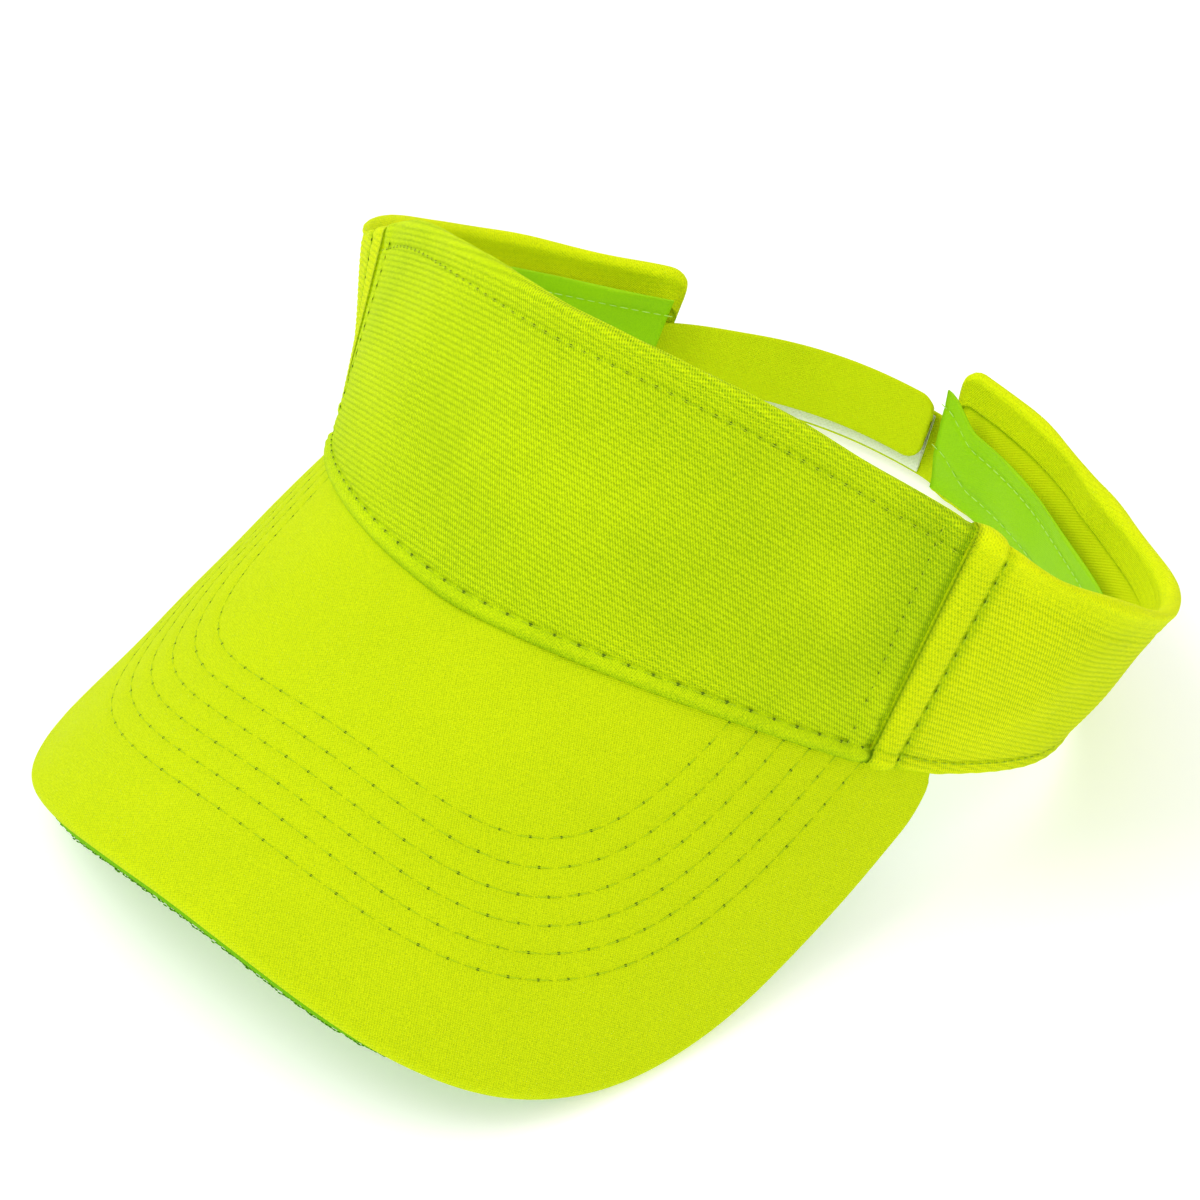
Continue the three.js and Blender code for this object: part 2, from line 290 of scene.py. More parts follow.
def closed_piece(name, points, weave, relief, finish, show=None):
    """A closed body: points[i][j] runs along the piece in i and once round its section in j.
    weave is each corner's place on the cloth, with the first one again at the end of each ring; show is
    how strongly ribs stand out there, and the painted light and shade put on the cloth there."""
    columns, ring = points.shape[:2]
    i = np.arange(columns - 1)[:, None] * ring
    j = np.arange(ring)[None, :]
    after = (j + 1) % ring
    faces = np.stack([i + j, i + ring + j, i + ring + after, i + after], -1).reshape(-1, 4)
    a, b, c, d = (points.reshape(-1, 3)[faces[:, k]] for k in range(4))
    volume = (np.cross(a, b) * c).sum() + (np.cross(a, c) * d).sum()
    sign = 1 if volume > 0 else -1
    along = np.gradient(points, axis=0)
    around = np.roll(points, -1, 1) - np.roll(points, 1, 1)
    normal = np.cross(along, around) * sign
    normal /= np.maximum(np.linalg.norm(normal, axis=2, keepdims=True), 1e-12)
    points = points + normal * (relief / 1000)[..., None]
    if show is None:
        show = np.ones(points.shape[:2] + (2,))
    if sign < 0:
        faces = faces[:, ::-1]
    ends = [list(range(ring)), list(range((columns - 1) * ring, columns * ring))]
    ends[1 if sign < 0 else 0].reverse()
    mesh = bpy.data.meshes.new(name)
    mesh.from_pydata(points.reshape(-1, 3).tolist(), [], faces.tolist() + ends)
    for layer, values in (("weave", weave), ("show", np.concatenate([show, show[:, :1]], 1))):
        place = np.stack([
            values[:-1, :-1], values[1:, :-1], values[1:, 1:], values[:-1, 1:]
        ], 2).reshape(-1, 4, 2)
        if sign < 0:
            place = place[:, ::-1]
        end_places = [values[0, :-1], values[-1, :-1]]
        end_places[1 if sign < 0 else 0] = end_places[1 if sign < 0 else 0][::-1]
        mesh.uv_layers.new(name=layer).data.foreach_set("uv", np.concatenate([
            place.reshape(-1, 2), *end_places
        ]).astype(np.float32).ravel())
    mesh.shade_smooth()
    mesh.materials.append(finish)
    return link(name, mesh)


class Shade:
    """A value or colour that varies over a surface: one shader socket, with arithmetic on it."""

    def __init__(self, tree, socket):
        self.tree = tree
        self.socket = socket

    def node(self, kind, inputs, settings=(), output=0):
        """Any node: its type, its sockets' values or links, and the settings made first."""
        made = self.tree.nodes.new(kind)
        for key, value in dict(settings).items():
            setattr(made, key, value)
        for key, value in inputs.items():
            if isinstance(value, Shade):
                self.tree.links.new(value.socket, made.inputs[key])
            else:
                made.inputs[key].default_value = value
        return Shade(self.tree, made.outputs[output])

    def math(self, operation, *others):
        inputs = {k: value for k, value in enumerate((self, *others))}
        return self.node("ShaderNodeMath", inputs, {"operation": operation})

    def __add__(self, other):
        return self.math("ADD", other)

    def __mul__(self, other):
        return self.math("MULTIPLY", other)

    __radd__ = __add__
    __rmul__ = __mul__

    def __sub__(self, other):
        return self.math("SUBTRACT", other)

    def __rsub__(self, other):
        return self * -1 + other

    def wave(self, pitch):
        """A sine wave of the given pitch along this distance."""
        return (self * (2 * math.pi / pitch)).math("SINE")


def colour(code):
    """A linear colour from its six hexadecimal digits."""
    parts = [int(code[k:k + 2], 16) / 255 for k in (0, 2, 4)]
    return tuple(p / 12.92 if p < 0.04045 else ((p + 0.055) / 1.055) ** 2.4 for p in parts) + (1,)


def cloth_finish(name, light, dark, pitch, depth, slant=0.0, ribs=0.0, roughness=0.9, blotch=0.25,
                 knit=0.16):
    """Cloth seen close: rows of small stitches at a pitch, ribs if it has them, dye that varies. The rib
    valleys get painted shade, and the show layer's second value adds painted light and shade.
    """
    finish = bpy.data.materials.new(name)
    finish.use_nodes = True
    tree = finish.node_tree
    shader = tree.nodes["Principled BSDF"]
    start = Shade(tree, None)
    weave = start.node("ShaderNodeUVMap", {}, {"uv_map": "weave"})
    u = start.node("ShaderNodeSeparateXYZ", {0: weave}, output=0)
    v = start.node("ShaderNodeSeparateXYZ", {0: weave}, output=1)
    layer = start.node("ShaderNodeUVMap", {}, {"uv_map": "show"})
    show = start.node("ShaderNodeSeparateXYZ", {0: layer}, output=0)
    painted_light_and_shade = start.node("ShaderNodeSeparateXYZ", {0: layer}, output=1)
    place = start.node("ShaderNodeTexCoord", {}, output=3)
    wobble = start.node("ShaderNodeTexNoise", {"Vector": place, "Scale": 2500.0, "Detail": 1.0})
    cloud = start.node("ShaderNodeTexNoise", {"Vector": place, "Scale": 38.0, "Detail": 3.0})
    threads = (u + v * slant).wave(pitch) * (v - u * slant * 0.6).wave(pitch * 0.9)
    height = threads * 0.5 + wobble
    shade = threads * knit + (wobble - 0.5) * 1.05 + (cloud - 0.5) * blotch * 2 + 0.6
    if ribs:
        stitches = (u + v * slant).wave(pitch) * show
        valley = ((v * (2 * math.pi / ribs)).math("COSINE") * 0.5 + 0.5).math("POWER", 2.0) * show
        height = height + stitches * 0.4 - valley * 0.7
        # Painted shade: the colour darkens in the rib valleys, on top of their bump.
        shade = shade + stitches * 0.28 - valley * 0.31 + show * 0.07
    # Painted light and shade from the show layer's second value.
    shade = shade + (painted_light_and_shade - 1)
    base = start.node(
        "ShaderNodeMix", {0: shade.math("MAXIMUM", 0.0).math("MINIMUM", 1.0), 6: dark, 7: light},
        {"data_type": "RGBA"}, output=2,
    )
    bump = start.node("ShaderNodeBump", {"Height": height, "Distance": depth, "Strength": 0.9})
    tree.links.new(base.socket, shader.inputs["Base Color"])
    tree.links.new(bump.socket, shader.inputs["Normal"])
    shader.inputs["Roughness"].default_value = roughness
    shader.inputs["Specular IOR Level"].default_value = 0.12
    return finish


brim_cloth = cloth_finish("brim_knit", colour("d9eb03"), colour("aecc02"), 0.0007, 0.00016, slant=0.36,
                          blotch=0.12, knit=0.3)
under_cloth = cloth_finish("under_knit", colour("a4dc08"), colour("74bb04"), 0.0009, 0.0002, slant=0.3)

rim_radius = brim_thickness / 2


def brim_ring(path):
    """Points and cloth places of a brim piece from its section: share, outward step and offset."""
    share, out, offset = (np.array(column, float) for column in zip(*path))
    flat = brim_inner[:, None] + (brim_outer - brim_inner)[:, None] * share[:, None]
    flat = flat + brim_outward[:, None] * out[:, None]
    offset = (offset[None, :] + rim_radius) * brim_shut[:, None] - rim_radius
    points = to_table(*brim_point(flat[..., 0], flat[..., 1], offset))
    weave = np.concatenate([flat, flat[:, :1]], 1) / 1000
    return points, weave, flat


def rim_path(start, stop, radius, count):
    return [
        (1.0, radius * math.cos(turn) - rim_radius, -rim_radius + radius * math.sin(turn))
        for turn in np.radians(np.linspace(start, stop, count))
    ]


brim_cloth_thickness = 0.8
seam_turn = -32
face_rows = 118
top_path = [(share, -rim_radius * share, 0.0) for share in np.linspace(0, 1, face_rows)[:-1]]
top_path += rim_path(90, seam_turn, rim_radius, 12)
tuck_turn = math.radians(seam_turn - 9)
tuck_radius = rim_radius - 0.5
top_path += [(1.0, tuck_radius * math.cos(tuck_turn) - rim_radius,
              -rim_radius + tuck_radius * math.sin(tuck_turn))]
inner_radius = rim_radius - brim_cloth_thickness
top_path += rim_path(seam_turn - 4, 90, inner_radius, 6)
top_path += [(share, -rim_radius * share, -brim_cloth_thickness) for share in np.linspace(1, 0, 16)[1:]]
top_points, top_weave, top_flat = brim_ring(top_path)


def brim_relief(across, along):
    """The cover sinks a little along each stitch row and is gently uneven elsewhere."""
    inset = inset_of(across, along)
    raised = 0.14 * soft_noise(across, along, 34, 3)
    for row in stitch_rows:
        raised -= 0.3 * dip(inset - row, 0.8)
    return raised


top_relief = brim_relief(top_flat[..., 0], top_flat[..., 1])
top_relief[:, face_rows + 9:] = 0
top_relief[:, face_rows - 1:face_rows + 9] *= 0.5
brim_top = closed_piece("brim_top_cloth", top_points, top_weave, top_relief, brim_cloth)
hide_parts("brim_top_cover")
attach(brim_top, "front")

under_rows = 60
under_path = [
    (share, -rim_radius * share, -brim_thickness) for share in np.linspace(0, 1, under_rows)[:-1]
]
under_path += rim_path(-90, seam_turn - 14, rim_radius, 7)
under_path += rim_path(seam_turn - 10, -90, inner_radius, 5)
under_path += [
    (share, -rim_radius * share, brim_cloth_thickness - brim_thickness)
    for share in np.linspace(1, 0, 16)[1:]
]
under_points, under_weave, under_flat = brim_ring(under_path)
under_inset = inset_of(under_flat[..., 0], under_flat[..., 1])
under_relief = np.zeros(under_inset.shape)
for row in stitch_rows:
    under_relief -= 0.25 * dip(under_inset - row, 1.0)
under_relief[:, under_rows:] = 0
# The under cover stands out past the top one in a lip along the front, with painted shade in the join.
lip_front_part = 60
lip = smooth(-57, -30, brim_outer[:, 0]) * smooth(64, 34, brim_outer[:, 0])
lip = lip * (brim_outer[:, 1] > lip_front_part)
under_relief[:, under_rows + 1:under_rows + 7] += lip[:, None] * np.linspace(0.3, 1.35, 6)[None, :]
under_show = np.ones(under_inset.shape + (2,))
# Painted shade: the rows where the under cover turns in at the join with the top cover are darkened.
under_show[:, under_rows + 5:under_rows + 9, 1] = 0.2
brim_under = closed_piece(
    "brim_under_cloth", under_points, under_weave, under_relief, under_cloth, under_show)
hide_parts("brim_under_cover")
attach(brim_under, "front")

# ---- Brim stitching ----
# Six rows of lockstitch run round the brim beside its outline, through both covers and the board.
# Each stitch is a fine thread with a needle hole at each end, drawn as a small dark disc of painted
# shade. Loose fibres stand along the rim's lip.


def plain_finish(name, code, roughness):
    """Sewing thread, or a dark disc of painted shade for the inside of a needle hole, with a little
    twist in its tone.
    """
    finish = bpy.data.materials.new(name)
    finish.use_nodes = True
    tree = finish.node_tree
    shader = tree.nodes["Principled BSDF"]
    start = Shade(tree, None)
    place = start.node("ShaderNodeTexCoord", {}, output=3)
    twist = start.node("ShaderNodeTexNoise", {"Vector": place, "Scale": 2500.0})
    dark = tuple(0.7 * part for part in colour(code)[:3]) + (1,)
    base = start.node(
        "ShaderNodeMix", {0: twist, 6: dark, 7: colour(code)}, {"data_type": "RGBA"}, output=2,
    )
    tree.links.new(base.socket, shader.inputs["Base Color"])
    shader.inputs["Roughness"].default_value = roughness
    shader.inputs["Specular IOR Level"].default_value = 0.2
    return finish


def node_group(name, sizes):
    """An empty Geometry Nodes tree with a geometry input and output, and its sizes as inputs."""
    tree = bpy.data.node_groups.new(name, "GeometryNodeTree")
    tree.interface.new_socket("Geometry", in_out="INPUT", socket_type="NodeSocketGeometry")
    tree.interface.new_socket("Geometry", in_out="OUTPUT", socket_type="NodeSocketGeometry")
    for key, value in sizes.items():
        kind = "NodeSocketInt" if isinstance(value, int) else "NodeSocketFloat"
        tree.interface.new_socket(key, in_out="INPUT", socket_type=kind)
    return tree, Shade(tree, tree.nodes.new("NodeGroupInput").outputs["Geometry"])


def applied(name, guide, tree, sizes):
    """Runs a tree on a guide and returns what it makes as a plain mesh piece."""
    modifier = guide.modifiers.new("made", "NODES")
    modifier.node_group = tree
    for item in tree.interface.items_tree:
        if item.item_type == "SOCKET" and item.in_out == "INPUT" and item.name in sizes:
            modifier[item.identifier] = sizes[item.name]
    bpy.context.view_layer.update()
    seen = guide.evaluated_get(bpy.context.evaluated_depsgraph_get())
    mesh = bpy.data.meshes.new_from_object(seen)
    mesh.name = name
    mesh.shade_smooth()
    bpy.data.objects.remove(guide)
    return link(name, mesh)


def sew(name, rows, thread, hole, pitch, length, radius, hole_width):
    """Rows of stitches. Each row is its points on the cloth and the ways the cloth faces there."""
    points, facing, edges = [], [], []
    for row_points, row_facing in rows:
        first = sum(len(part) for part in points)
        edges += [(first + k, first + k + 1) for k in range(len(row_points) - 1)]
        points.append(row_points)
        facing.append(row_facing)
    mesh = bpy.data.meshes.new(name + "_guide")
    mesh.from_pydata(np.concatenate(points).tolist(), edges, [])
    mesh.attributes.new("facing", "FLOAT_VECTOR", "POINT").data.foreach_set(
        "vector", np.concatenate(facing).astype(np.float32).ravel())
    sizes = {
        "Stitch pitch": pitch / 1000, "Stitch length": length / 1000,
        "Thread radius": radius / 1000, "Hole width": hole_width / 1000, "Seed": 7,
    }
    tree, start = node_group(name + "_tree", sizes)
    given = {key: Shade(tree, start.socket.node.outputs[key]) for key in sizes}
    curve = start.node("GeometryNodeMeshToCurve", {0: start})
    curve = start.node(
        "GeometryNodeResampleCurve", {"Curve": curve, "Length": given["Stitch pitch"]},
        {"mode": "LENGTH"})
    along = start.node("GeometryNodeInputTangent", {})
    out = start.node("GeometryNodeInputNamedAttribute", {"Name": "facing"},
                     {"data_type": "FLOAT_VECTOR"})
    turned = start.node("FunctionNodeAlignRotationToVector", {"Vector": along}, {"axis": "X"})
    turned = start.node(
        "FunctionNodeAlignRotationToVector", {"Rotation": turned, "Vector": out},
        {"axis": "Z", "pivot_axis": "X"})
    grain = start.node("GeometryNodeMeshUVSphere", {"Segments": 8, "Rings": 6, "Radius": 1.0})
    uneven = start.node(
        "FunctionNodeRandomValue", {2: 0.85, 3: 1.12, "Seed": given["Seed"]},
        {"data_type": "FLOAT"}, output=1)
    made = []
    for finish, long, wide, high, shift in (
        (thread, given["Stitch length"] * 0.5, given["Thread radius"], given["Thread radius"], 0.0),
        (hole, given["Hole width"] * 0.5, given["Hole width"] * 0.36, given["Hole width"] * 0.16, 0.5),
    ):
        size = start.node("ShaderNodeCombineXYZ", {0: long * uneven, 1: wide * uneven, 2: high})
        copies = start.node(
            "GeometryNodeInstanceOnPoints",
            {"Points": curve, "Instance": grain, "Rotation": turned, "Scale": size})
        move = start.node("ShaderNodeCombineXYZ", {0: given["Stitch pitch"] * shift, 1: 0.0, 2: 0.0})
        copies = start.node(
            "GeometryNodeTranslateInstances", {"Instances": copies, "Translation": move})
        solid = start.node("GeometryNodeRealizeInstances", {0: copies})
        made.append(start.node("GeometryNodeSetMaterial", {"Geometry": solid, "Material": finish}))
    both = tree.nodes.new("GeometryNodeJoinGeometry")
    for part in made:
        tree.links.new(part.socket, both.inputs[0])
    tree.links.new(both.outputs[0], tree.nodes.new("NodeGroupOutput").inputs[0])
    return applied(name, link(name + "_guide", mesh), tree, sizes)


thread = plain_finish("sewing_thread", "bcdc08", 0.7)
# The needle holes are small dark discs: painted shade.
painted_needle_hole_shade = plain_finish("painted_needle_hole_shade", "5c7a08", 0.9)
inner_edge_across, inner_edge_along = brim_inner[::-1].T
brim_rows, under_rows_sewn = [], []
for row in stitch_rows:
    flat = evenly(edge_curve(row), 700)
    foot = np.interp(flat[:, 0], inner_edge_across, inner_edge_along)
    flat = flat[flat[:, 1] > foot + 2.0]
    sunk = brim_relief(flat[:, 0], flat[:, 1]) + 0.06
    low = to_table(*brim_point(flat[:, 0], flat[:, 1], sunk))
    high = to_table(*brim_point(flat[:, 0], flat[:, 1], sunk + 1))
    brim_rows.append((low, high - low))
    low = to_table(*brim_point(flat[:, 0], flat[:, 1], 0.2 - brim_thickness))
    under_rows_sewn.append((low, low - to_table(*brim_point(flat[:, 0], flat[:, 1], 1.0))))
brim_stitches = sew(
    "brim_stitches", brim_rows + under_rows_sewn, thread, painted_needle_hole_shade, 6.0, 5.5, 0.13, 0.8)
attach(brim_stitches, "front")
green_fibre = plain_finish("rim_fibre", "8ccc1c", 0.9)
dark_fibre = plain_finish("rim_fibre_dark", "5fa00c", 0.9)
rim_rows = []
kept = lip > 0.25
for seed, turn in ((51, -52), (52, -46), (53, -58)):
    fine = evenly(brim_outer[kept], 700)
    swell = np.interp(fine[:, 0], brim_outer[kept][::-1, 0], lip[kept][::-1])
    fray = 1.35 * swell + 0.22 * soft_noise(fine[:, 0], fine[:, 1], 2.4, seed)
    out = np.stack([np.interp(fine[:, 0], brim_outer[kept][::-1, 0], brim_outward[kept][::-1, k])
                    for k in (0, 1)], -1)
    flat = fine + out * ((rim_radius + fray) * math.cos(math.radians(turn)) - rim_radius)[:, None]
    depth = -rim_radius + (rim_radius + fray) * math.sin(math.radians(turn))
    low = to_table(*brim_point(flat[:, 0], flat[:, 1], depth))
    further = flat + out
    rim_rows.append((low, to_table(*brim_point(further[:, 0], further[:, 1], depth - 0.5)) - low))
rim_fibres = sew("brim_rim_fibres", rim_rows, green_fibre, dark_fibre, 0.9, 1.1, 0.13, 0.8)
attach(rim_fibres, "front")

# ---- Brim board ----
# The moulded plastic stiffener between the covers, smooth and slightly cloudy. Its edge is bare on the
# side nearest the head, and shows there near both ends.


def hard_finish(name, light, dark, scale, depth, roughness):
    """A moulded or pressed sheet: faint clouding and a fine grain."""
    finish = bpy.data.materials.new(name)
    finish.use_nodes = True
    tree = finish.node_tree
    shader = tree.nodes["Principled BSDF"]
    start = Shade(tree, None)
    place = start.node("ShaderNodeTexCoord", {}, output=3)
    grain = start.node("ShaderNodeTexNoise", {"Vector": place, "Scale": scale, "Detail": 3.0})
    base = start.node(
        "ShaderNodeMix", {0: grain, 6: dark, 7: light}, {"data_type": "RGBA"}, output=2,
    )
    bump = start.node("ShaderNodeBump", {"Height": grain, "Distance": depth, "Strength": 0.6})
    tree.links.new(base.socket, shader.inputs["Base Color"])
    tree.links.new(bump.socket, shader.inputs["Normal"])
    shader.inputs["Roughness"].default_value = roughness
    return finish


board_plastic = hard_finish(
    "board_plastic", colour("ecece6"), colour("dcdcd4"), 120.0, 5e-5, 0.45)
board_inset = brim_cloth_thickness + layer_gap
board_path = [(share, -rim_radius * share, -board_inset) for share in np.linspace(0, 1, 40)[:-1]]
board_path += rim_path(90, -90, rim_radius - board_inset, 9)
board_path += [
    (share, -rim_radius * share, board_inset - brim_thickness) for share in np.linspace(1, 0, 12)[1:]
]
board_points, board_weave, board_flat = brim_ring(board_path)
brim_board = closed_piece(
    "brim_board_sheet", board_points, board_weave, np.zeros(board_flat.shape[:2]), board_plastic)
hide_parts("brim_board")
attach(brim_board, "front")

# ---- Front panel ----
# One piece of ribbed cloth, tucked in at the brim as a rounded welt, folded over at the top and
# stitched down. A buckram stiffener and a plain lining lie behind it.

front_height = 64
rear_height = 33.5
height_fade = 168
bottom_rise = 21
front_lean = -5
side_flare = 24
flare_angle = 87
flare_spread = 54
seam_angle = 58
cloth_thickness = 1.0
hem_width = 8
welt_height = 3.2
top_stitch_drop = 6.5
seam_stitch_in = 6.0
wall_middle = -1.7
face_middle = -0.5
lining_middle = -2.75
stiffener_middle = -1.72
stiffener_short = 3.2
tape_middle = -3.75


def from_front(angle):
    angle = np.asarray(angle, float)
    return np.abs(np.where(angle > 180, angle - 360, angle))


def bottom_height(angle):
    turn = from_front(angle)
    across, along = flat_from_plan(*outline(angle))
    on_brim = brim_point(across, along, 0)[2]
    behind = bottom_rise * ease((turn - flare_angle) / (180 - flare_angle))
    return np.where(turn < brim_end_angle, on_brim, behind)


def wall_height(angle):
    full = front_height + (rear_height - front_height) * ease(from_front(angle) / height_fade)
    slack = dip(np.asarray(angle, float) + seam_angle + 8, 13)
    return full - 4.6 * slack


def slackness(angle, height):
    """The right seam's upper corner is drawn in a little, and the panel behind it bulges out."""
    up = np.clip((height - 8) / 42, 0, 1)
    turn = np.where(np.asarray(angle) > 180, 0.0, angle)
    drawn_in = -2.3 * dip(turn + seam_angle - 2, 11)
    bulge = 2.6 * dip(turn + seam_angle + 12, 8)
    return up * (drawn_in + bulge)


def wall_point(angle, height, offset):
    """A point of the band's wall: height runs up the cloth, offset outwards from its outer face."""
    turn = from_front(angle)
    lean = np.radians(front_lean + side_flare * ease(1 - np.abs(turn - flare_angle) / flare_spread))
    x, y = outline(angle, offset + height * np.sin(lean) + slackness(angle, height))
    return to_table(x, y, bottom_height(angle) + height * np.cos(lean))


measured_angles = np.linspace(-235, 235, 4701)
measured_run = np.concatenate([[0], np.cumsum(np.hypot(
    *(np.diff(part) for part in outline(measured_angles))
))])
measured_run -= np.interp(0, measured_angles, measured_run)


def run_of(angle):
    """Distance round the band from the middle of the front, in millimetres."""
    return np.interp(angle, measured_angles, measured_run)


def angle_of(run):
    return np.interp(run, measured_run, measured_angles)


def columns_between(start, stop, width):
    """Angles spread evenly round the band, about a width apart."""
    count = max(int(abs(run_of(stop) - run_of(start)) / width), 4)
    return angle_of(np.linspace(run_of(start), run_of(stop), count + 1))


def arc(middle, radius, start, stop, count):
    """Heights and offsets on an arc; 0 degrees points outwards and 90 degrees up."""
    turn = np.radians(np.linspace(start, stop, count))
    return middle[0] + radius * np.sin(turn), middle[1] + radius * np.cos(turn)


def joined(columns, *parts):
    """Heights and offsets of a section, one row for each column, from parts that may vary."""
    return tuple(np.concatenate([
        np.broadcast_to(np.asarray(part[k], float), (columns, np.shape(part[k])[-1])) for part in parts
    ], 1) for k in (0, 1))


def straight(from_height, to_height, from_offset, to_offset, count):
    """A straight part of a section between heights that may vary from column to column."""
    share = np.linspace(0, 1, count)[None, :]
    ends = [np.asarray(value, float).reshape(-1, 1) for value in (
        from_height, to_height, from_offset, to_offset)]
    return ends[0] + (ends[1] - ends[0]) * share, ends[2] + (ends[3] - ends[2]) * share


def cloth_strip(name, angles, section, thickness, relief, finish, nose=None, middle=wall_middle, skip=5,
                shear=None, show=None):
    """Cloth of a thickness whose middle runs through the section's heights and offsets. relief
    raises its outer side. nose shrinks the section towards the middle offset, to close an end."""
    height, offset = section
    nose = np.ones(len(angles)) if nose is None else nose
    nose = nose[:, None]
    offset = middle + (offset - middle) * nose
    half = thickness / 2 * nose
    step_h, step_o = np.gradient(height, axis=1), np.gradient(offset, axis=1)
    size = np.maximum(np.hypot(step_h, step_o), 1e-9)
    step_h, step_o = step_h / size, step_o / size
    path = np.cumsum(np.concatenate(
        [np.zeros((len(angles), 1)), np.hypot(np.diff(height), np.diff(offset))], 1), 1)
    kept = np.arange(height.shape[1])[::-1]
    turning = np.abs(np.gradient(step_o[len(angles) // 2])) > 0.02
    kept = np.array([k for k in kept if k % skip == 0 or turning[k] or k == kept[0]])
    parts_h, parts_o, parts_v = [height - step_o * half], [offset + step_h * half], [path]
    for end, side in ((-1, 1), (0, -1)):
        for turn in np.radians([45, 90, 135]):
            parts_h.append((height - step_o * half * side * math.cos(turn)
                            + step_h * half * side * math.sin(turn))[:, [end]])
            parts_o.append((offset + step_h * half * side * math.cos(turn)
                            + step_o * half * side * math.sin(turn))[:, [end]])
            parts_v.append(path[:, [end]] + side * half * math.sin(turn))
        if end == -1:
            parts_h.append((height + step_o * half)[:, kept])
            parts_o.append((offset - step_h * half)[:, kept])
            parts_v.append(path[:, kept])
    ring_h, ring_o, ring_v = (np.concatenate(parts, 1) for parts in (parts_h, parts_o, parts_v))
    points = wall_point(np.asarray(angles)[:, None], ring_h, ring_o)
    run = run_of(np.asarray(angles))[:, None]
    if shear:
        ring_v = ring_v + shear(run)
    weave = np.stack(np.broadcast_arrays(run, ring_v), -1)
    weave = np.concatenate([weave, weave[:, :1]], 1) / 1000
    raised = np.zeros(ring_h.shape)
    raised[:, :height.shape[1]] = relief(run, height, path) * nose
    shown = np.ones(ring_h.shape + (2,))
    if show:
        shown[..., 0] = 0
        shown[:, :height.shape[1]] = np.stack(np.broadcast_arrays(*show(run, height, path)), -1)
    return closed_piece(name, points, weave, raised, finish, shown)


def rib(distance, pitch, height):
    return height * (np.maximum(0.5 - 0.5 * np.cos(2 * np.pi * distance / pitch), 0) ** 0.75 - 0.6)


rib_pitch = 1.28
front_run = run_of(seam_angle)


def cut_away(run):
    """How far the straight ribs have run out past the panel's foot, towards its ends."""
    return 0.185 * (np.sqrt(np.asarray(run) ** 2 + 400) - 20)


def front_show(run, height, path):
    """Ribs fade on the welt and inside the hem. Second value: painted shade darkens the join with the
    brim, both seams (more at the wearer's left) and a broad patch beside the wearer's-left seam; a
    painted highlight lightens the top fold.
    """
    top = wall_height(angle_of(run))
    to_seam = front_run - np.abs(run)
    ribs = smooth(welt_height, welt_height + 1.6, path) * (1 - 0.9 * smooth(top + 1, top + 3, path))
    ribs = ribs * (0.55 + 0.45 * smooth(2, 26, run + front_run))
    # Painted shade along both seams, stronger at the wearer's left; painted highlight on the top fold;
    # painted shade in the join with the brim.
    seam_shade = np.where(run > 0, 0.35, 0.1) * dip(to_seam - 0.4, 1.1)
    light = 1 + 0.14 * smooth(top - 2, top + 1, path) - seam_shade
    light = light - 0.3 * dip(path - 0.9, 0.8)
    # Painted shade: a broad darker patch on the face beside the wearer's-left seam.
    painted_shade_by_seam = dip(to_seam - 7, 9) * smooth(-20, 20, run)
    return ribs, light - 0.25 * painted_shade_by_seam * smooth(8, 40, path) * (path < top)


def front_relief(run, height, path):
    top = wall_height(angle_of(run))
    to_seam = front_run - np.abs(run)
    on_face = path < top - 0.5
    raised = rib(path + cut_away(run), rib_pitch, 0.13) * front_show(run, height, path)[0]
    raised = raised + 1.1 * np.sin(np.pi * np.clip((path - 0.2) / (welt_height + 0.4), 0, 1)) ** 0.8
    raised = raised + 0.3 * dip(path - top - 0.2, 2.2)
    raised = raised - 0.45 * dip(path - welt_height - 0.5, 0.7)
    raised = raised - 0.4 * dip(path - top + top_stitch_drop - 1.0, 0.8) * on_face
    raised = raised - 0.4 * dip(to_seam - seam_stitch_in, 0.8) * on_face
    raised = raised - 0.2 * dip(to_seam - 1.5, 1.3)
    raised = raised + 0.22 * smooth(8, 5, to_seam) * on_face
    raised = raised + 0.3 * soft_noise(run, path, 46, 11) * smooth(4, 12, path)
    near_corner = dip(to_seam - 5, 7) * dip(path - 9, 7)
    return raised + 0.45 * near_corner * np.sin((path - 0.7 * to_seam) * 1.1)


front_cloth = cloth_finish(
    "front_rib", colour("e2fa04"), colour("90ba02"), 0.00064, 0.0002, slant=0.5, ribs=0.00128)
seam_lap = 1.4
front_end = angle_of(front_run + seam_lap)
front_angles = columns_between(-front_end, front_end, 1.12)
front_top = wall_height(front_angles)
fold_radius = 1.2
fold_turns = np.radians(np.linspace(0, 180, 15)[1:])
front_section = joined(
    len(front_angles),
    arc((1.75, -1.6), 1.1, -90, -8, 6),
    straight(1.95, front_top - 1.7, face_middle, face_middle, 290),
    (front_top[:, None] - 1.7 + fold_radius * np.sin(fold_turns),
     wall_middle + fold_radius * np.cos(fold_turns) + 0 * front_top[:, None]),
    tuple(part[:, 1:] for part in straight(front_top - 1.7, front_top - hem_width, -2.9, -3.95, 26)),
)
under_side = 1.15 * smooth(2.4, 0.2, front_run - np.abs(run_of(front_angles)))
front_section = (front_section[0], front_section[1] - under_side[:, None])
front_panel = cloth_strip(
    "front_panel_cloth", front_angles, front_section, cloth_thickness, front_relief, front_cloth,
    shear=cut_away, show=front_show,
)
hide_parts("front_shell", "front_top_hem")
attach(front_panel, "front")


def flat_relief(run, height, path):
    return 0 * run * height + 0.1 * soft_noise(run, path, 20, 5)


